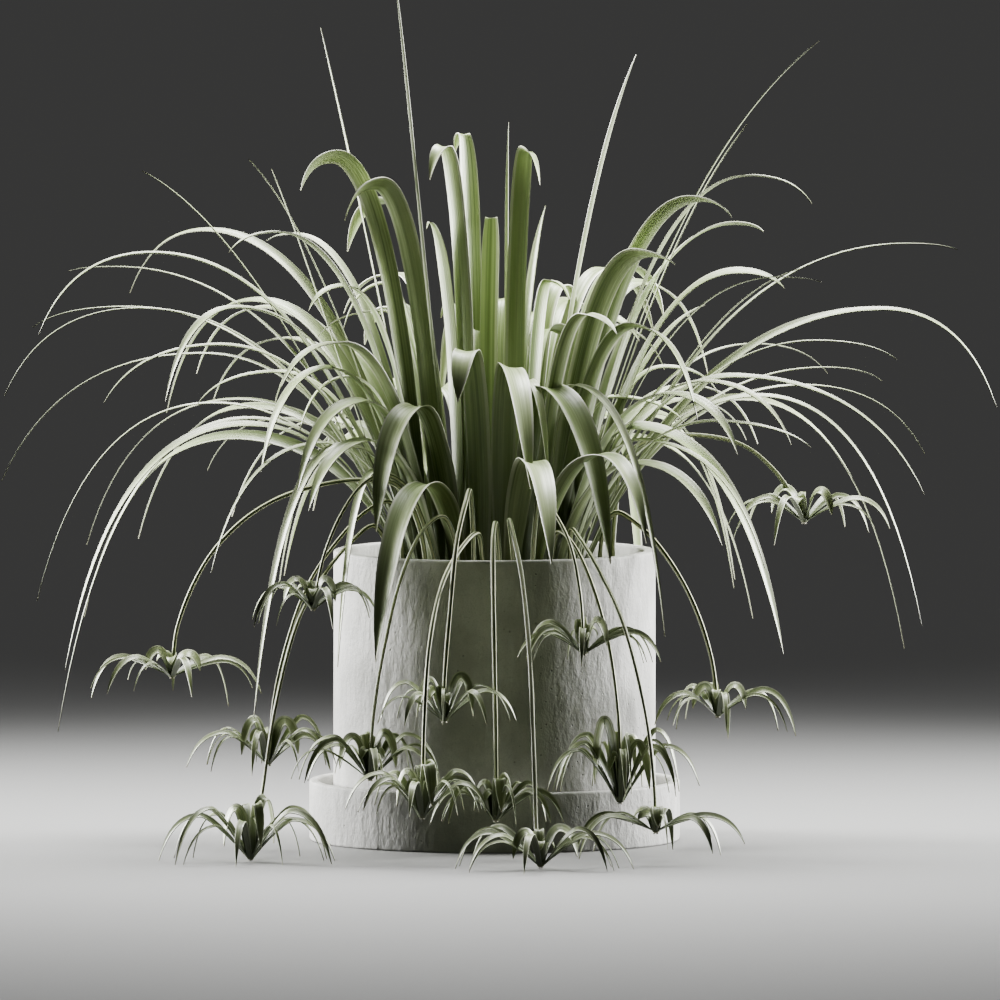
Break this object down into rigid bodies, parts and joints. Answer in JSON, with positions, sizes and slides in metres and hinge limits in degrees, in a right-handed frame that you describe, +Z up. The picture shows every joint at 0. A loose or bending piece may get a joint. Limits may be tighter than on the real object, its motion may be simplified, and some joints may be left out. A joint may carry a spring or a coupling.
{
  "type": "potted spider plant",
  "caption": "Potted spider plant: a dense clump of arching striped leaves in a plain round concrete pot and saucer, with runners of young plants hanging over the rim.",
  "frame": {"origin": "centre of the saucer's flat underside, on the surface that it stands on", "axes": "+Z up along the pot's axis, -Y towards the front of the plant, +X to the right seen from the front"},
  "size_m": [0.7429, 0.5985, 0.652],
  "materials": {
    "concrete": "matte cast concrete, light grey, small air pits",
    "soil": "damp dark potting soil",
    "foliage": "satin green leaf, paler cream margins and fine lengthwise stripes",
    "runner": "satin, cream and dark green lengthwise stripes"
  },
  "bodies": {
    "root": {"saucer": "concrete", "pot": "concrete", "soil": "soil", "leaf_clump": "foliage", "runner_01": "runner", "runner_02": "runner", "runner_03": "runner", "runner_04": "runner", "runner_05": "runner", "runner_06": "runner", "runner_07": "runner", "runner_08": "runner", "runner_09": "runner", "runner_10": "runner", "runner_11": "runner", "runner_12": "runner", "runner_13": "runner", "runner_14": "runner"}
  },
  "joints": []
}
